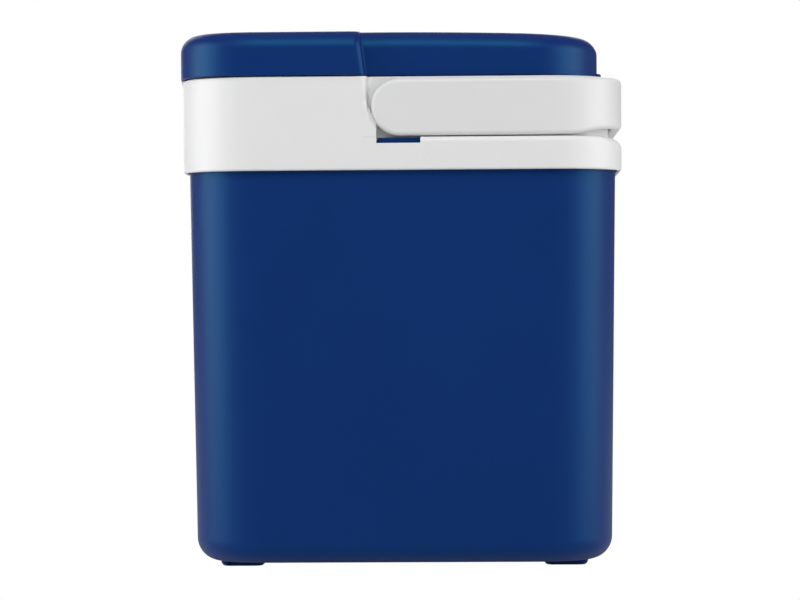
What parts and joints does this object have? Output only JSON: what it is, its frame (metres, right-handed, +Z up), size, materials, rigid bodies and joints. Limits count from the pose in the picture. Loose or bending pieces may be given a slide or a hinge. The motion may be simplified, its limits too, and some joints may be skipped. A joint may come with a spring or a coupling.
{
  "type": "cooler chest",
  "caption": "Upright insulated cooler chest with a stepped hinged lid, a plastic collar and a folding U-shaped carry handle that lies round the collar and locks the lid when raised.",
  "frame": {"origin": "on the floor under the middle of the whole object", "axes": "+Z up, +X along the chest from its left short side to its right one, -Y to the front (the side the handle folds to), +Y to the rear with the lid hinge"},
  "size_m": [0.403, 0.3344, 0.3982],
  "materials": {
    "blue_plastic": "satin moulded polypropylene, fine grain",
    "white_plastic": "satin moulded polypropylene, fine grain",
    "liner_plastic": "smooth food-grade moulding",
    "foam": "rigid closed-cell foam",
    "seal_rubber": "soft matt extrusion",
    "steel": "plain zinc-plated"
  },
  "bodies": {
    "chest": {"outer_shell": "blue_plastic", "body_insulation": "foam", "inner_liner": "liner_plastic", "collar": "white_plastic", "foot_front_left": "blue_plastic", "foot_front_right": "blue_plastic", "foot_rear_left": "blue_plastic", "foot_rear_right": "blue_plastic", "hinge_pin_left": "steel", "hinge_pin_right": "steel"},
    "handle": {"carry_handle": "white_plastic", "pivot_pin_left": "steel", "pivot_pin_right": "steel"},
    "lid": {"lid_cover": "blue_plastic", "lid_cover_front": "blue_plastic", "lid_liner": "liner_plastic", "lid_liner_front": "liner_plastic", "lid_insulation": "foam", "lid_seal": "seal_rubber", "lid_screw_front_left": "steel", "lid_screw_front_right": "steel", "lid_screw_middle_left": "steel", "lid_screw_middle_right": "steel", "lid_screw_rear_left": "steel", "lid_screw_rear_right": "steel"}
  },
  "joints": [
    {"name": "handle_pivot", "type": "hinge", "parent": "chest", "child": "handle", "pos_m": [0, -0.0023, 0.3412], "axis": [-1, 0, 0], "range_deg": [0, 90]},
    {"name": "lid_hinge", "type": "hinge", "parent": "chest", "child": "lid", "pos_m": [0, 0.1627, 0.367], "axis": [-1, 0, 0], "range_deg": [0, 100]}
  ]
}
